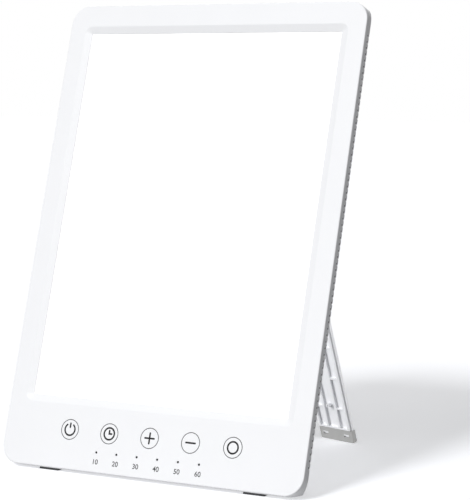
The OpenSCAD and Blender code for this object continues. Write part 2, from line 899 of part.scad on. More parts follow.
module hinge_bracket() {
    low = -shoulder - base_len + slip;
    base = [sink_front - hinge_y, sink_front - hinge_y + base_t];
    color("silver")
        panel_pose()
            at_hinge()
                difference() {
                    union() {
                        block([-ear_out, ear_out], base, [low, -shoulder]);
                        for (side = [-1, 1])
                            mirrored(side) {
                                block([ear_x, ear_out], base, [low, 0]);
                                block([ear_x, ear_out], [sink_front - hinge_y, 0],
                                      [-barrel_r, barrel_r]);
                                translate([ear_x, 0, 0])
                                    rotate([0, 90, 0])
                                        cylinder(h = ear_t, r = barrel_r);
                            }
                    }
                    translate([-ear_out - eps, 0, 0])
                        rotate([0, 90, 0])
                            cylinder(h = 2*(ear_out + eps), r = pin_r);
                    for (x = [-bracket_screw_x, bracket_screw_x])
                        translate([x, sink_front - hinge_y - eps, bracket_screw_z])
                            rotate([-90, 0, 0])
                                cylinder(h = base_t + 2*eps, r1 = small_r, r2 = small_head_r);
                }
}

module bracket_screws() {
    color("gray")
        panel_pose()
            at_hinge()
                for (x = [-bracket_screw_x, bracket_screw_x])
                    translate([x, sink_front - hinge_y, bracket_screw_z]) {
                        rotate([-90, 0, 0])
                            cylinder(h = base_t, r1 = small_r - slip, r2 = small_head_r - slip);
                        rotate([90, 0, 0])
                            cylinder(h = bracket_screw_len, r = small_r - slip);
                    }
}

module hinge_pin() {
    color("silver")
        panel_pose()
            at_hinge()
                translate([-ear_out, 0, 0])
                    rotate([0, 90, 0])
                        cylinder(h = 2*ear_out, r = pin_r);
}

module friction_washers() {
    color("tan")
        panel_pose()
            at_hinge()
                for (side = [-1, 1])
                    mirrored(side)
                        translate([washer_x, 0, 0])
                            rotate([0, 90, 0])
                                difference() {
                                    cylinder(h = washer_t, r = barrel_r);
                                    translate([0, 0, -eps])
                                        cylinder(h = washer_t + 2*eps, r = pin_r + run);
                                }
}

// ---- Leg ----

// Cross-section: a plate with four ribs on the side that faces the panel
module leg_section() {
    chamfer = 0.5;
    polygon([[-leg_w/2, floor_y], [leg_w/2, floor_y], [leg_w/2, plate_back - chamfer],
             [leg_w/2 - chamfer, plate_back], [-leg_w/2 + chamfer, plate_back],
             [-leg_w/2, plate_back - chamfer]]);
    for (x = [-rib_out, -rib_in, rib_in, rib_out])
        translate([x - rib_w/2, rib_top])
            square([rib_w, rib_h + root]);
}

module leg_beam() {
    bar_count = floor((leg_len - bar_first)/bar_pitch);
    rib_span = 2*rib_out + rib_w;
    intersection() {
        union() {
            translate([0, 0, -leg_len + cap_h])
                linear_extrude(height = leg_len)
                    leg_section();
            block([-rib_span/2, rib_span/2], [rib_top, floor_y + root],
                  [-leg_len + cap_h, -leg_len + cap_h + bar_w]);
            for (side = [-1, 1], i = [0 : bar_count])
                mirrored(side)
                    translate([0, 0, -leg_len + bar_first + i*bar_pitch])
                        block([rib_in, rib_out], [rib_top, floor_y + root], [-bar_w/2, bar_w/2]);
            hinge_frame()
                block([-leg_w, leg_w], [rib_top, floor_y + root],
                      [-shoulder - rib_w, -shoulder + root]);
        }
        pushed(-leg_w, 2*leg_w)
            leg_outline(0, shoulder);
    }
}

module leg_barrel() {
    half = barrel_len/2;
    hinge_frame() {
        block([-half, half], [-neck_t/2, neck_t/2], [-shoulder - neck_root, 0]);
        block([-half, half], [-barrel_r, barrel_r/2], [0, heel_len]);
        translate([-half, 0, 0])
            rotate([0, 90, 0])
                cylinder(h = barrel_len, r = barrel_r);
    }
}

// The tongue that the rubber cap is pushed onto, with a hook for each of its slots
module leg_tongue() {
    y = cap_front + (cap_t - tongue_t)/2;
    half = cap_w/2 - cap_wall;
    block([-half, half], [y, y + tongue_t], [-leg_len + cap_wall, -leg_len + cap_h + eps]);
    for (x = [-hook_x, hook_x])
        block([x - hook_w/2, x + hook_w/2], [cap_front + slip, y + eps],
              [-leg_len + cap_h/2, -leg_len + cap_h/2 + hook_h]);
}

module leg() {
    color("white")
        leg_pose()
            difference() {
                union() {
                    leg_beam();
                    leg_barrel();
                    leg_tongue();
                    rod([0, -leg_len + stud_z], rib_top - stud_out, rib_h + stud_out + root, stud_r);
                }
                rod([0, -leg_len + stud_z], rib_top - stud_out - eps, rib_h + stud_out, stud_hole_r);
                hinge_frame()
                    translate([-leg_w, 0, 0])
                        rotate([0, 90, 0])
                            cylinder(h = 2*leg_w, r = pin_r + run);
            }
}

module leg_foot() {
    y = cap_front + (cap_t - tongue_t)/2;
    half = cap_w/2 - cap_wall + slip;
    color("darkgray")
        leg_pose()
            difference() {
                translate([0, 0, -leg_len])
                    pushed(cap_front, cap_t)
                        rounded_outline(cap_w, cap_h, cap_c);
                block([-half, half], [y - slip, y + tongue_t + slip],
                      [-leg_len + cap_wall - slip, -leg_len + cap_h + eps]);
                for (x = [-hook_x, hook_x])
                    block([x - hook_w/2 - slip, x + hook_w/2 + slip], [cap_front - eps, y],
                          [-leg_len + cap_h/2 - hook_h - slip, -leg_len + cap_h/2 + hook_h + slip]);
            }
}

front_frame();
rear_cover();
diffuser_sheet();
light_guide();
reflector_sheet();
back_plate();
strip_board_left();
strip_board_right();
strip_diodes_left();
strip_diodes_right();
control_board();
touch_springs();
indicator_diodes();
light_pipes();
driver_board();
driver_coil();
driver_capacitors();
board_ribbon();
power_inlet();
board_screws();
case_screws();
front_feet();
hinge_bracket();
bracket_screws();
hinge_pin();
friction_washers();
leg();
leg_foot();
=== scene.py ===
"""Light therapy lamp: materials, printed marks, small details, floor, lamps and camera."""
import json
import math

import bmesh
import bpy
from mathutils import Matrix, Vector


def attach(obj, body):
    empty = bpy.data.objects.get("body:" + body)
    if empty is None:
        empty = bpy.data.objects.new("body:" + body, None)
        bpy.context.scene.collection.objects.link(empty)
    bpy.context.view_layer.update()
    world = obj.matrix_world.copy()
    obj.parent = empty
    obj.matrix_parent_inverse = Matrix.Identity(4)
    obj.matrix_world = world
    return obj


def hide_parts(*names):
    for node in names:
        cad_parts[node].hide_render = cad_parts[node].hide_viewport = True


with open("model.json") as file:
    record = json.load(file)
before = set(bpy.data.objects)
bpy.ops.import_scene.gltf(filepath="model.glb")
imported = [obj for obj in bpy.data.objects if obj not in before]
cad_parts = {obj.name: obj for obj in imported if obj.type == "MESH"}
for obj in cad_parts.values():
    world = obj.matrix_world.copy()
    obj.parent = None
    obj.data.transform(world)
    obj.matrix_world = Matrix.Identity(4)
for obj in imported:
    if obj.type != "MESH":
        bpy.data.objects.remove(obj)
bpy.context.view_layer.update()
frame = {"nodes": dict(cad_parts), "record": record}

NODES = frame["nodes"]
SLOTS = {part["node"]: part["material_slot"] for part in frame["record"]["subparts"]}
MM = 0.001

# ---- Sizes in mm and degrees, in the panel's own frame: x across, y into its depth, z up ----

LEAN = math.radians(17.2)
# Where the panel's lower front corner stands
CORNER_Y, CORNER_Z = -76.9363, 2.3633
BODY_W, BODY_H = 180.0, 254.0
CORNER_R = 10.5
WINDOW_HALF_W, WINDOW_LOW, WINDOW_HIGH = 80, 34, 242
WINDOW_R = 4

# The middle of the leg's hinge, and its pin's turn in the panel's plane
HINGE = (18.0, 15.8, 231.5)
HINGE_SKEW = math.radians(28)

PANEL = Matrix.Translation((0, CORNER_Y, CORNER_Z)) @ Matrix.Rotation(-LEAN, 4, "X")
HINGE_AT = PANEL @ Matrix.Translation(HINGE) @ Matrix.Rotation(HINGE_SKEW, 4, "Y")

# Front frame: its rounded edge, its seam with the cover, and (inset, depth) along the rest of its section
FRONT_ROUND = 0.6
ROUND_STEPS = 6
SEAM_D = 1.8
SEAM_ROUND = 0.12
BEVEL_START = [(-0.15, 0.0), (-0.05, 0.006), (0.05, 0.03)]
BEVEL_END = [(3.8, 1.17), (3.87, 1.2), (3.9, 1.26)]
WINDOW_REBATE = [(3.9, 1.6), (0.45, 1.6), (0.45, 2.0)]
SKIRT = [(3.45, 2.0), (3.45, 3.8), (2.05, 3.8), (2.05, SEAM_D)]
CORNER_STEPS = 20

# Printed marks: how far the print stands out of the face and reaches into it, and line widths
PRINT_OUT = 0.02
PRINT_IN = 0.02
RING_LINE = 0.4
ICON_LINE = 0.92
END_STEPS = 6

KEY_Z = 20.82
KEYS = [(x, KEY_Z) for x in (-49.08, -24.64, -0.18, 24.10, 48.56)]
KEY_R = 5.24
POWER_R = 3.06
POWER_FROM, POWER_TO = 128, 412
POWER_BAR_LOW, POWER_BAR_HIGH = 1.15, 3.25
CLOCK_R = 3.08
LONG_HAND, SHORT_HAND = 1.6, 1.5
FULL_R = 2.96
SIGN_HALF = 2.7
SIGN_GAP = 0.3

DOT_COUNT = 6
DOT_PITCH = 12.3
DOTS_X = [(i - (DOT_COUNT - 1) / 2) * DOT_PITCH for i in range(DOT_COUNT)]
DOT_Z = 10.5
DOT_HOLE_R = 0.64
DOT_HOLE_START, DOT_HOLE_END = -0.5, 3.0
DIGIT_LOW = 4.4
DIGIT_H = 2.5
DIGIT_SHARE = 0.68  # a digit's height as a share of the font's size
DIGIT_BOLD = 0.05

# Screws: the case's in their wells as (x, z, turn), and the bracket's, flush, from the hinge's middle
CASE_SCREWS_LOW, CASE_SCREWS_HIGH = 30.9, 244.9
CASE_SCREW_Y = 13.0
CASE_SCREWS = [(-62, CASE_SCREWS_LOW, 12), (-5, CASE_SCREWS_LOW, 57), (62, CASE_SCREWS_LOW, 31),
               (-62, CASE_SCREWS_HIGH, 74), (-5, CASE_SCREWS_HIGH, 5), (62, CASE_SCREWS_HIGH, 48)]
BRACKET_SCREW_X = 7.3
BRACKET_SCREW_Y, BRACKET_SCREW_Z = -1.95, -8.4

# Air holes in the side walls, and the dark plugs in them that paint the shade inside the holes: (depth under
# the wall, share of the hole)
VENT_LOW, VENT_PITCH, VENT_COUNT = 15.4, 3.3, 68
VENT_Y = 3.6
VENT_W = 0.9
VENT_SHADE_GAP = 0.01
VENT_SHADE_PROFILE = [(0.6, 1.0), (0.12, 1.0), (0.06, 0.8), (0.03, 0.4)]


# ---- Materials ----


class Graph:
    """A material's node tree, with short calls for the nodes that repeat."""

    NOISE_MIDDLE = (0.3, 0.7)  # where nearly all of a noise texture's values lie

    def __init__(self, name):
        self.material = bpy.data.materials.new(name)
        self.material.use_nodes = True
        self.tree = self.material.node_tree
        self.shader = self.tree.nodes["Principled BSDF"]
        self.place = self.node("ShaderNodeTexCoord").outputs["Object"]

    def node(self, kind, **inputs):
        node = self.tree.nodes.new(kind)
        for key, value in inputs.items():
            self.put(node.inputs[key.replace("_", " ")], value)
        return node

    def put(self, socket, value):
        if isinstance(value, bpy.types.NodeSocket):
            self.tree.links.new(value, socket)
        else:
            socket.default_value = value

    def set(self, **inputs):
        for key, value in inputs.items():
            self.put(self.shader.inputs[key.replace("_", " ")], value)

    def noise(self, scale, detail=3.0, rough=0.5, stretch=None):
        place = self.place
        if stretch:
            place = self.node("ShaderNodeMapping", Vector=place, Scale=stretch).outputs["Vector"]
        node = self.node("ShaderNodeTexNoise", Vector=place, Scale=scale, Detail=detail, Roughness=rough)
        return node.outputs["Fac"]

    def ramp(self, value, low, high):
        """Maps a noise value's middle range onto low to high, as a number."""
        node = self.node("ShaderNodeMapRange", Value=value)
        node.inputs["From Min"].default_value, node.inputs["From Max"].default_value = self.NOISE_MIDDLE
        node.inputs["To Min"].default_value = low
        node.inputs["To Max"].default_value = high
        return node.outputs["Result"]

    def mix(self, value, a, b):
        """Mixes two colours by a noise value."""
        node = self.node("ShaderNodeValToRGB", Fac=value)
        ends = node.color_ramp.elements
        ends[0].position, ends[1].position = self.NOISE_MIDDLE
        ends[0].color = (*a, 1)
        ends[1].color = (*b, 1)
        return node.outputs["Color"]

    def bump(self, height, strength, distance):
        node = self.node("ShaderNodeBump", Height=height, Strength=strength, Distance=distance)
        self.put(self.shader.inputs["Normal"], node.outputs["Normal"])


def tinted(color, amount):
    return tuple(min(1.0, c * (1 + amount)) for c in color)


def moulded(name, color, rough, tint=0.012, grain=2600.0, depth=0.02, stretch=None, **inputs):
    """Plastic, rubber, print or card: fine grain, with slightly uneven colour and gloss."""
    g = Graph(name)
    patches = g.noise(42.0, 2.0, 0.5, stretch)
    fine = g.noise(grain, 2.0, 0.6, stretch)
    g.set(Base_Color=g.mix(patches, tinted(color, -tint), tinted(color, tint)),
          Roughness=g.ramp(fine, rough - 0.05, rough + 0.05), **inputs)
    g.bump(fine, 0.35, depth * MM)
    return g.material


def glowing(name, color, strength):
    """Opal sheet lit from behind, a touch brighter and dimmer in wide patches."""
    g = Graph(name)
    patches = g.noise(14.0, 2.0)
    g.set(Base_Color=g.mix(patches, tinted(color, -0.01), color), Roughness=0.55,
          Emission_Color=g.mix(patches, tinted(color, -0.008), color), Emission_Strength=strength)
    g.bump(g.noise(3000.0), 0.1, 0.01 * MM)
    return g.material


def board(name, color):
    """Circuit board: solder mask over tracks."""
    g = Graph(name)
    tracks = g.node("ShaderNodeTexBrick", Vector=g.place, Scale=260.0, Mortar_Size=0.04)
    for key, shade in (("Color1", -0.2), ("Color2", 0.0), ("Mortar", 0.7)):
        tracks.inputs[key].default_value = (*tinted(color, shade), 1)
    g.set(Base_Color=tracks.outputs["Color"], Roughness=g.ramp(g.noise(900.0), 0.3, 0.42))
    g.bump(tracks.outputs["Fac"], 0.2, 0.03 * MM)
    return g.material


def brushed(name, color, rough, stretch):
    """Metal with fine drawn lines along one axis."""
    g = Graph(name)
    lines = g.noise(900.0, 4.0, 0.6, stretch)
    g.set(Base_Color=g.mix(lines, tinted(color, -0.06), tinted(color, 0.04)), Metallic=1.0,
          Roughness=g.ramp(lines, rough - 0.07, rough + 0.07))
    g.bump(lines, 0.15, 0.01 * MM)
    return g.material


def clear(name, color, rough, transmission):
    """Clear sheet."""
    g = Graph(name)
    patches = g.noise(60.0)
    g.set(Base_Color=g.mix(patches, tinted(color, -0.03), tinted(color, 0.02)),
          Roughness=g.ramp(g.noise(1500.0), rough, rough + 0.05), Transmission_Weight=transmission, IOR=1.49)
    return g.material


MATERIALS = {
    "white_plastic": moulded("white_plastic", (0.925, 0.933, 0.955), 0.48, tint=0.006),
    "diffuser": glowing("diffuser", (1.0, 1.0, 1.0), 0.35),
    "clear_acrylic": clear("clear_acrylic", (0.94, 0.97, 1.0), 0.04, 0.9),
    "reflector_film": moulded("reflector_film", (0.95, 0.95, 0.95), 0.4, tint=0.006),
    "aluminium_sheet": brushed("aluminium_sheet", (0.75, 0.76, 0.78), 0.36, (1, 1, 0.04)),
    "strip_white": moulded("strip_white", (0.88, 0.88, 0.86), 0.35, tint=0.008),
    "diode": moulded("diode", (0.95, 0.88, 0.5), 0.22, tint=0.02),
    "green_board": board("green_board", (0.045, 0.23, 0.11)),
    "copper": brushed("copper", (0.85, 0.55, 0.36), 0.28, (1, 0.1, 1)),
    # The light pipes' near-black colour is painted shade: it stands for the dark inside of the dot holes.
    "pipe_acrylic": moulded("pipe_acrylic", (0.015, 0.015, 0.017), 0.3, tint=0.05, depth=0.004,
                            Specular_IOR_Level=0.15),
    "black_plastic": moulded("black_plastic", (0.035, 0.035, 0.038), 0.45, tint=0.06),
    "ribbon": moulded("ribbon", (0.8, 0.8, 0.77), 0.3, tint=0.02, stretch=(8, 1, 0.2)),
    "zinc_steel": brushed("zinc_steel", (0.62, 0.63, 0.65), 0.32, (0.3, 1, 1)),
    "dark_rubber": moulded("dark_rubber", (0.13, 0.13, 0.135), 0.72, tint=0.08, grain=1800.0, depth=0.05),
    "grey_rubber": moulded("grey_rubber", (0.46, 0.46, 0.455), 0.66, tint=0.03, grain=1800.0, depth=0.04),
    "washer": moulded("washer", (0.74, 0.67, 0.5), 0.4, tint=0.03),
}
INK = moulded("ink", (0.012, 0.012, 0.013), 0.5, tint=0.05, grain=4000.0, depth=0.004,
              Specular_IOR_Level=0.15)
GREY_INK = moulded("grey_ink", (0.055, 0.056, 0.06), 0.5, tint=0.04, grain=4000.0, depth=0.004,
                   Specular_IOR_Level=0.2)


# ---- CAD nodes that stay ----

# Edges sharper than this stay sharp in shading, and are rounded on the nodes below
SHARP = math.radians(28)
EDGE_ROUNDS = {"rear_cover": 0.16, "leg": 0.18, "leg_foot": 0.28, "front_feet": 0.35,
               "hinge_bracket": 0.12, "power_inlet": 0.15}


def soften_group(angle):
    """Geometry nodes: joins the mesh's split corners and shades it smooth, except over sharp edges."""
    group = bpy.data.node_groups.new("soften", "GeometryNodeTree")
    group.interface.new_socket("Geometry", in_out="INPUT", socket_type="NodeSocketGeometry")
    group.interface.new_socket("Geometry", in_out="OUTPUT", socket_type="NodeSocketGeometry")
    nodes = group.nodes
    link = group.links.new
    start = nodes.new("NodeGroupInput")
    end = nodes.new("NodeGroupOutput")
    merge = nodes.new("GeometryNodeMergeByDistance")
    merge.inputs["Distance"].default_value = 1e-6
    faces = nodes.new("GeometryNodeSetShadeSmooth")
    edge_angle = nodes.new("GeometryNodeInputMeshEdgeAngle")
    sharp = nodes.new("FunctionNodeCompare")
    sharp.data_type = "FLOAT"
    sharp.operation = "GREATER_THAN"
    sharp.inputs[1].default_value = angle
    edges = nodes.new("GeometryNodeSetShadeSmooth")
    edges.domain = "EDGE"
    edges.inputs["Shade Smooth"].default_value = False
    link(start.outputs[0], merge.inputs["Geometry"])
    link(merge.outputs[0], faces.inputs["Geometry"])
    link(edge_angle.outputs["Unsigned Angle"], sharp.inputs[0])
    link(faces.outputs[0], edges.inputs["Geometry"])
    link(sharp.outputs[0], edges.inputs["Selection"])
    link(edges.outputs[0], end.inputs[0])
    return group


SOFTEN = soften_group(SHARP)


def even_normals(obj):
    """Keeps broad flat faces flat in shading beside small rounded edges."""
    weighted = obj.modifiers.new("weighted", "WEIGHTED_NORMAL")
    weighted.mode = "FACE_AREA_WITH_ANGLE"
    weighted.weight = 100
    weighted.keep_sharp = True


def dress(name):
    """Gives a CAD node its material, and some nodes a fine round along their edges."""
    obj = NODES[name]
    obj.material_slots[0].material = MATERIALS[SLOTS[name]]
    soften = obj.modifiers.new("soften", "NODES")
    soften.node_group = SOFTEN
    if name in EDGE_ROUNDS:
        bevel = obj.modifiers.new("bevel", "BEVEL")
        bevel.width = EDGE_ROUNDS[name] * MM
        bevel.segments = 2
        bevel.limit_method = "ANGLE"
        bevel.angle_limit = SHARP
        bevel.use_clamp_overlap = True
        even_normals(obj)


# ---- Building pieces ----


def plain_object(name, bm):
    """Puts a bmesh into the scene as an object, and frees it."""
    mesh = bpy.data.meshes.new(name)
    bm.to_mesh(mesh)
    bm.free()
    obj = bpy.data.objects.new(name, mesh)
    bpy.context.scene.collection.objects.link(obj)
    return obj


def finish_piece(name, bm, matrix, material, body, replaced=(), sharp=35):
    """Turns a bmesh in mm into a piece in the CAD's frame that rides on a body."""
    bm.transform(Matrix.Scale(MM, 4) @ matrix)
    bmesh.ops.recalc_face_normals(bm, faces=bm.faces)
    obj = plain_object(name, bm)
    obj.data.materials.append(material)
    obj.data.shade_smooth()
    obj.data.set_sharp_from_angle(angle=math.radians(sharp))
    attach(obj, body)
    if replaced:
        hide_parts(*replaced)
    return obj


def cut_away(obj, cutter):
    """The mesh of obj with the cutter taken out of it. The cutter goes."""
    cut = obj.modifiers.new("cut", "BOOLEAN")
    cut.operation = "DIFFERENCE"
    cut.object = cutter
    cut.solver = "EXACT"
    bpy.context.view_layer.update()
    mesh = bpy.data.meshes.new_from_object(obj.evaluated_get(bpy.context.evaluated_depsgraph_get()))
    obj.modifiers.remove(cut)
    bpy.data.objects.remove(cutter)
    return mesh


def join_rings(bm, rings):
    """Faces between neighbouring rings of as many vertices. A ring of one vertex is a point."""
    for low, high in zip(rings, rings[1:]):
        count = max(len(low), len(high))
        for k in range(count):
            m = (k + 1) % count
            if len(low) == 1:
                bm.faces.new((low[0], high[k], high[m]))
            elif len(high) == 1:
                bm.faces.new((low[k], low[m], high[0]))
            else:
                bm.faces.new((low[k], low[m], high[m], high[k]))


def turned(profile, steps=40):
    """A closed solid of revolution about z from (radius, z) points, first and last on the axis."""
    bm = bmesh.new()
    turns = [2 * math.pi * k / steps for k in range(steps)]
    rings = []
    for radius, z in profile:
        if radius == 0:
            rings.append([bm.verts.new((0, 0, z))])
        else:
            rings.append([bm.verts.new((radius * math.cos(a), radius * math.sin(a), z)) for a in turns])
    join_rings(bm, rings)
    bmesh.ops.recalc_face_normals(bm, faces=bm.faces)
    return bm


# ---- Front frame: one section carried round, from the seam over the front and into the window ----


def rounded_loop(half_w, low, high, radius):
    """Points round a rounded rectangle, the same count for every size."""
    points = []
    for turn, cx, cz in ((0, half_w - radius, high - radius), (90, -half_w + radius, high - radius),
                         (180, -half_w + radius, low + radius), (270, half_w - radius, low + radius)):
        for k in range(CORNER_STEPS + 1):
            a = math.radians(turn + 90 * k / CORNER_STEPS)
            points.append((cx + radius * math.cos(a), cz + radius * math.sin(a)))
    return points


def body_loop(inset):
    return rounded_loop(BODY_W / 2 - inset, inset, BODY_H - inset, CORNER_R - inset)


def window_loop(inset):
    return rounded_loop(WINDOW_HALF_W - inset, WINDOW_LOW + inset, WINDOW_HIGH - inset, WINDOW_R - inset)


def front_profile():
    """[(loop of points, depth)] from the seam, over the rounded front edge and the bevel, to the skirt."""
    outer = [(SEAM_ROUND, SEAM_D), (SEAM_ROUND / 4, SEAM_D - SEAM_ROUND / 4), (0, SEAM_D - SEAM_ROUND),
             (0, FRONT_ROUND)]
    for k in range(1, ROUND_STEPS):
        a = math.radians(90 * k / ROUND_STEPS)
        outer.append((FRONT_ROUND * (1 - math.cos(a)), FRONT_ROUND * (1 - math.sin(a))))
    outer.append((FRONT_ROUND, 0))
    window = BEVEL_START + BEVEL_END + WINDOW_REBATE
    return ([(body_loop(inset), depth) for inset, depth in outer]
            + [(window_loop(inset), depth) for inset, depth in window]
            + [(body_loop(inset), depth) for inset, depth in SKIRT])


def dot_holes():
    """A cutter with a round hole for each indicator dot."""
    holes = bmesh.new()
    for x in DOTS_X:
        tube = turned([(0, DOT_HOLE_START), (DOT_HOLE_R, DOT_HOLE_START),
                       (DOT_HOLE_R, DOT_HOLE_END), (0, DOT_HOLE_END)], steps=24)
        stand = Matrix.Translation((x, 0, DOT_Z)) @ Matrix.Rotation(-math.pi / 2, 4, "X")
        tube.transform(Matrix.Scale(MM, 4) @ PANEL @ stand)
        mesh = bpy.data.meshes.new("hole")
        tube.to_mesh(mesh)
        tube.free()
        holes.from_mesh(mesh)
        bpy.data.meshes.remove(mesh)
    return plain_object("dot_holes", holes)


def front_frame():
    bm = bmesh.new()
    rings = [[bm.verts.new((x, depth, z)) for x, z in loop] for loop, depth in front_profile()]
    join_rings(bm, rings + [rings[0]])
    obj = finish_piece("front_bezel", bm, PANEL, MATERIALS["white_plastic"], "panel",
                       ("front_frame",), sharp=50)
    bpy.context.view_layer.update()
    obj.data = cut_away(obj, dot_holes())
    even_normals(obj)


# ---- Printed marks ----


def arc(centre, radius, start, end, steps):
    """Points along an arc, angles in degrees anticlockwise from the right."""
    angles = [math.radians(start + (end - start) * i / steps) for i in range(steps + 1)]
    return [(centre[0] + radius * math.cos(a), centre[1] + radius * math.sin(a)) for a in angles]


def round_end(bm, first, last, tip, inner):
    """A half disc from first round to last, past the tip of a line that comes from inner."""
    away = (tip - inner).normalized()
    start = Vector((first.co.x, first.co.z)) - tip
    turn = 1 if away.cross(start) < 0 else -1
    ring = [first]
    for k in range(1, END_STEPS):
        p = tip + Matrix.Rotation(turn * math.pi * k / END_STEPS, 2) @ start
        ring.append(bm.verts.new((p.x, -PRINT_OUT, p.y)))
    ring.append(last)
    return bm.faces.new(ring)


def stroke(bm, points, width, closed=False):
    """A raised printed line of even width through points on the front face, with round ends."""
    points = [Vector(p) for p in points]
    if closed:
        points = points[:-1]
    count = len(points)
    left = []
    right = []
    for i, p in enumerate(points):
        before = points[i - 1] if closed or i else p
        after = points[(i + 1) % count] if closed or i < count - 1 else p
        d1 = (p - before).normalized() if (p - before).length else (after - p).normalized()
        d2 = (after - p).normalized() if (after - p).length else d1
        along = (d1 + d2).normalized()
        side = Vector((-along.y, along.x)) * width / 2 / max(0.5, along.dot(d2))
        left.append(p + side)
        right.append(p - side)
    a = [bm.verts.new((v.x, -PRINT_OUT, v.y)) for v in left]
    b = [bm.verts.new((v.x, -PRINT_OUT, v.y)) for v in right]
    faces = []
    for i in range(count if closed else count - 1):
        j = (i + 1) % count
        faces.append(bm.faces.new((a[i], a[j], b[j], b[i])))
    if not closed:
        faces.append(round_end(bm, a[0], b[0], points[0], points[1]))
        faces.append(round_end(bm, b[-1], a[-1], points[-1], points[-2]))
    deepened = bmesh.ops.extrude_face_region(bm, geom=faces)
    moved = [v for v in deepened["geom"] if isinstance(v, bmesh.types.BMVert)]
    bmesh.ops.translate(bm, verts=moved, vec=(0, PRINT_OUT + PRINT_IN, 0))


def key_rings():
    bm = bmesh.new()
    for centre in KEYS:
        stroke(bm, arc(centre, KEY_R, 0, 360, steps=72), RING_LINE, closed=True)
    finish_piece("key_rings", bm, PANEL, GREY_INK, "panel")


def key_icons():
    """The signs on the keys: power, clock, plus, minus and a ring."""
    bm = bmesh.new()
    power, clock, plus, minus, full = KEYS
    stroke(bm, arc(power, POWER_R, POWER_FROM, POWER_TO, steps=56), ICON_LINE)
    stroke(bm, [(power[0], power[1] + POWER_BAR_LOW), (power[0], power[1] + POWER_BAR_HIGH)], ICON_LINE)
    stroke(bm, arc(clock, CLOCK_R, 0, 360, steps=60), ICON_LINE, closed=True)
    stroke(bm, [(clock[0], clock[1] + LONG_HAND), clock, (clock[0] + SHORT_HAND, clock[1])], ICON_LINE)
    for centre in (plus, minus):
        stroke(bm, [(centre[0] - SIGN_HALF, centre[1]), (centre[0] + SIGN_HALF, centre[1])], ICON_LINE)
    for way in (-1, 1):
        stroke(bm, [(plus[0], plus[1] + way * SIGN_GAP), (plus[0], plus[1] + way * SIGN_HALF)], ICON_LINE)
    stroke(bm, arc(full, FULL_R, 0, 360, steps=60), ICON_LINE, closed=True)
    finish_piece("key_icons", bm, PANEL, INK, "panel")


def timer_numbers():
    """The numbers 10 to 60 under the indicator dots."""
    bm = bmesh.new()
    for i, x in enumerate(DOTS_X):
        text = bpy.data.curves.new("number", "FONT")
        text.body = str(10 * (i + 1))
        text.size = DIGIT_H / DIGIT_SHARE
        text.align_x = "CENTER"
        text.extrude = (PRINT_OUT + PRINT_IN) / 2
        text.offset = DIGIT_BOLD
        shown = bpy.data.objects.new("number", text)
        bpy.context.scene.collection.objects.link(shown)
        bpy.context.view_layer.update()
        mesh = bpy.data.meshes.new_from_object(shown)
        middle = (x, (PRINT_IN - PRINT_OUT) / 2, DIGIT_LOW)
        mesh.transform(Matrix.Translation(middle) @ Matrix.Rotation(math.pi / 2, 4, "X"))
        bm.from_mesh(mesh)
        bpy.data.objects.remove(shown)
        bpy.data.curves.remove(text)
        bpy.data.meshes.remove(mesh)
    finish_piece("timer_numbers", bm, PANEL, GREY_INK, "panel")


# ---- Screws: a turned head with a cross recess ----

RECESS_HALF = 0.56  # shares of the head's radius and height
RECESS_DEPTH = 0.72
RECESS_ARM = 0.24  # half the arm's width, as a share of its length
RECESS_TIP = 0.45  # length and width of the arms at the recess's foot, as shares of those at its top
RECESS_NARROW = 0.8
RECESS_START = 0.2  # mm above the head, so that the cut is clean


def cross_recess(half, depth):
    """A tapering cross, as the driver's tip: its outline at the top and a smaller one at the foot."""
    arm = half * RECESS_ARM
    outline = []
    for quarter in range(4):
        turn = Matrix.Rotation(quarter * math.pi / 2, 2)
        outline += [turn @ Vector((half, -arm)), turn @ Vector((half, arm)), turn @ Vector((arm, arm))]
    bm = bmesh.new()
    top = [bm.verts.new((p.x, p.y, RECESS_START)) for p in outline]
    low = []
    for p in outline:
        sideways = abs(p.x) > abs(p.y)
        scale_x = RECESS_TIP if sideways else RECESS_NARROW
        scale_y = RECESS_NARROW if sideways else RECESS_TIP
        low.append(bm.verts.new((p.x * scale_x, p.y * scale_y, -depth)))
    bm.faces.new(top)
    bm.faces.new(list(reversed(low)))
    for i in range(len(outline)):
        j = (i + 1) % len(outline)
        bm.faces.new((top[j], top[i], low[i], low[j]))
    bmesh.ops.recalc_face_normals(bm, faces=bm.faces)
    return bm


def screw_mesh(head_r, head_h, shank_r, shank_len, countersunk=False):
    """One screw that points down, with its head's top at z = head_h, or at 0 if countersunk."""
    tip = [(0, -shank_len), (shank_r * 0.55, -shank_len), (shank_r, -shank_len + shank_r)]
    if countersunk:
        top = 0.0
        head = [(shank_r, -head_h), (head_r - 0.03, -0.06), (head_r, 0), (0, 0)]
    else:
        top = head_h
        head = [(shank_r, 0), (head_r - 0.05, 0), (head_r, 0.08), (head_r, head_h * 0.55),
                (head_r * 0.93, head_h * 0.8), (head_r * 0.74, head_h * 0.94), (head_r * 0.45, head_h),
                (0, head_h)]
    blank = plain_object("screw_blank", turned(tip + head))
    tool = cross_recess(head_r * RECESS_HALF, head_h * RECESS_DEPTH)
    tool.transform(Matrix.Translation((0, 0, top)))
    mesh = cut_away(blank, plain_object("screw_cutter", tool))
    bpy.data.objects.remove(blank)
    return mesh


def add_screws(name, mesh, places, matrix, replaced):
    """Copies of a screw at places = [(x, y, z, turn in degrees)], heads to the back."""
    bm = bmesh.new()
    for x, y, z, turn in places:
        copy = mesh.copy()
        stand = Matrix.Rotation(-math.pi / 2, 4, "X") @ Matrix.Rotation(math.radians(turn), 4, "Z")
        copy.transform(Matrix.Translation((x, y, z)) @ stand)
        bm.from_mesh(copy)
        bpy.data.meshes.remove(copy)
    finish_piece(name, bm, matrix, MATERIALS["zinc_steel"], "panel", replaced)


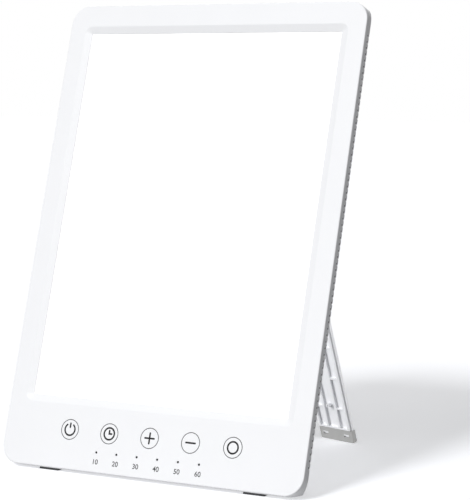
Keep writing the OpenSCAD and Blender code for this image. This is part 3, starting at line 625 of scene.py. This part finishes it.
def screws():
    case = screw_mesh(head_r=2.3, head_h=1.6, shank_r=1.2, shank_len=10.4)
    places = [(x, CASE_SCREW_Y, z, turn) for x, z, turn in CASE_SCREWS]
    add_screws("case_screw_heads", case, places, PANEL, ("case_screws",))
    bracket = screw_mesh(head_r=1.65, head_h=1.0, shank_r=0.85, shank_len=4.0, countersunk=True)
    places = [(side * BRACKET_SCREW_X, BRACKET_SCREW_Y, BRACKET_SCREW_Z, turn)
              for side, turn in ((-1, 20), (1, 65))]
    add_screws("bracket_screw_heads", bracket, places, HINGE_AT, ("bracket_screws",))


def vent_painted_shade():
    """Dark plugs just inside each air hole, domed outwards: painted shade for the dark inside of the holes.
    """
    bm = bmesh.new()
    half = VENT_W / 2 - VENT_SHADE_GAP
    for side in (-1, 1):
        for i in range(VENT_COUNT):
            z = VENT_LOW + i * VENT_PITCH
            rings = []
            for under, share in VENT_SHADE_PROFILE:
                reach = half * share
                rings.append([bm.verts.new((side * (BODY_W / 2 - under), VENT_Y + a * reach, z + b * reach))
                              for a, b in ((-1, -1), (1, -1), (1, 1), (-1, 1))])
            bm.faces.new(rings[0])
            bm.faces.new(rings[-1])
            join_rings(bm, rings)
    # The plugs are black so that the holes show as dark: painted shade.
    finish_piece("vent_painted_shade", bm, PANEL, MATERIALS["black_plastic"], "panel")


# ---- Floor, background and lamps ----

FLOOR_CAST = (0.88, 0.89, 0.925, 1)
FLOOR_LIFT_COLOR = (0.985, 0.99, 1.0, 1)
FLOOR_LIFT = 0.5
FLOOR_BOUNCE = 0.44
WORLD_COLOR = (0.97, 0.985, 1.0, 1)
WORLD = 0.03


def seen_or_lit(tree, lit, seen):
    """Shows one shader to the camera and in reflections, and gives the light of another."""
    path = tree.nodes.new("ShaderNodeLightPath")
    either = tree.nodes.new("ShaderNodeMath")
    either.operation = "MAXIMUM"
    third = tree.nodes.new("ShaderNodeMath")
    third.operation = "MAXIMUM"
    pick = tree.nodes.new("ShaderNodeMixShader")
    link = tree.links.new
    link(path.outputs["Is Camera Ray"], either.inputs[0])
    link(path.outputs["Is Glossy Ray"], either.inputs[1])
    link(either.outputs[0], third.inputs[0])
    link(path.outputs["Is Transmission Ray"], third.inputs[1])
    link(third.outputs[0], pick.inputs["Fac"])
    link(lit.outputs[0], pick.inputs[1])
    link(seen.outputs[0], pick.inputs[2])
    return pick.outputs[0]


def floor_material():
    """Seen as white with the object's shadow, and bouncing FLOOR_BOUNCE of the light that falls on it."""
    material = bpy.data.materials.new("floor")
    material.use_nodes = True
    tree = material.node_tree
    tree.nodes.remove(tree.nodes["Principled BSDF"])
    seen = tree.nodes.new("ShaderNodeAddShader")
    cast = tree.nodes.new("ShaderNodeBsdfDiffuse")
    cast.inputs["Color"].default_value = FLOOR_CAST
    lift = tree.nodes.new("ShaderNodeEmission")
    lift.inputs["Color"].default_value = FLOOR_LIFT_COLOR
    lift.inputs["Strength"].default_value = FLOOR_LIFT
    bounce = tree.nodes.new("ShaderNodeBsdfDiffuse")
    bounce.inputs["Color"].default_value = (FLOOR_BOUNCE, FLOOR_BOUNCE, FLOOR_BOUNCE, 1)
    tree.links.new(cast.outputs[0], seen.inputs[0])
    tree.links.new(lift.outputs[0], seen.inputs[1])
    out = tree.nodes["Material Output"]
    tree.links.new(seen_or_lit(tree, bounce, seen), out.inputs["Surface"])
    return material


def add_floor():
    bm = bmesh.new()
    bmesh.ops.create_grid(bm, x_segments=8, y_segments=8, size=6)
    floor = plain_object("floor", bm)
    floor.data.materials.append(floor_material())


def add_world():
    world = bpy.data.worlds.new("world")
    bpy.context.scene.world = world
    world.use_nodes = True
    tree = world.node_tree
    tree.nodes.clear()
    dim = tree.nodes.new("ShaderNodeBackground")
    dim.inputs["Color"].default_value = WORLD_COLOR
    dim.inputs["Strength"].default_value = WORLD
    white = tree.nodes.new("ShaderNodeBackground")
    white.inputs["Color"].default_value = (1, 1, 1, 1)
    white.inputs["Strength"].default_value = 1.0
    out = tree.nodes.new("ShaderNodeOutputWorld")
    tree.links.new(seen_or_lit(tree, dim, white), out.inputs["Surface"])


def leg_pieces():
    return [NODES["leg"], NODES["leg_foot"]]


def case_pieces():
    return [bpy.data.objects["front_bezel"], NODES["rear_cover"]]


def lamp_pieces():
    return [obj for obj in bpy.context.scene.objects if obj.type == "MESH" and obj.name != "floor"]


# name, azimuth (0 from the front, positive from the right), height, strength, spread in degrees,
# and the pieces that it lights (None for all)
LIGHTS = [
    ("key", -7, 38, 0.59, 14, None),
    ("left", -30, 30, 0.19, 34, None),
    ("right", 35, 50, 0.15, 34, None),
    ("leg_fill", -45, 15, 0.78, 30, leg_pieces),
    ("leg_edge", 95, 5, 0.50, 20, leg_pieces),
    ("back", -155, 35, 0.55, 30, lamp_pieces),
    ("under", 0, -90, 0.15, 30, case_pieces),
]


def add_lights():
    for name, azimuth, height, strength, spread, lit in LIGHTS:
        data = bpy.data.lights.new(name, "SUN")
        data.energy = strength * math.pi
        data.angle = math.radians(spread)
        lamp = bpy.data.objects.new(name, data)
        a = math.radians(azimuth)
        h = math.radians(height)
        toward = Vector((math.sin(a) * math.cos(h), -math.cos(a) * math.cos(h), math.sin(h)))
        lamp.rotation_euler = toward.to_track_quat("Z", "Y").to_euler()
        bpy.context.scene.collection.objects.link(lamp)
        if lit:
            only = bpy.data.collections.new(name + "_lit")
            for piece in lit():
                only.objects.link(piece)
            lamp.light_linking.receiver_collection = only
            if lit is not lamp_pieces:
                lamp.light_linking.blocker_collection = only


# ---- Camera, placed so that the corners and keys fall where the photograph has them ----

CAMERA_AT = Vector((489.42, -864.68, 209.82)) * MM
CAMERA_LOOK = Vector((-0.4821564, 0.8707056, -0.0969377))
CAMERA_LENS = 133.07


def add_camera():
    data = bpy.data.cameras.new("camera")
    data.lens = CAMERA_LENS
    data.sensor_width = 36
    data.sensor_fit = "AUTO"
    data.clip_start = 0.01
    data.clip_end = 50
    camera = bpy.data.objects.new("camera", data)
    camera.location = CAMERA_AT
    camera.rotation_euler = CAMERA_LOOK.to_track_quat("-Z", "Y").to_euler()
    bpy.context.scene.collection.objects.link(camera)
    bpy.context.scene.camera = camera


add_camera()
for node_name in NODES:
    dress(node_name)
front_frame()
key_rings()
key_icons()
timer_numbers()
screws()
vent_painted_shade()
add_floor()
add_world()
add_lights()
bpy.context.scene.view_settings.view_transform = "Standard"
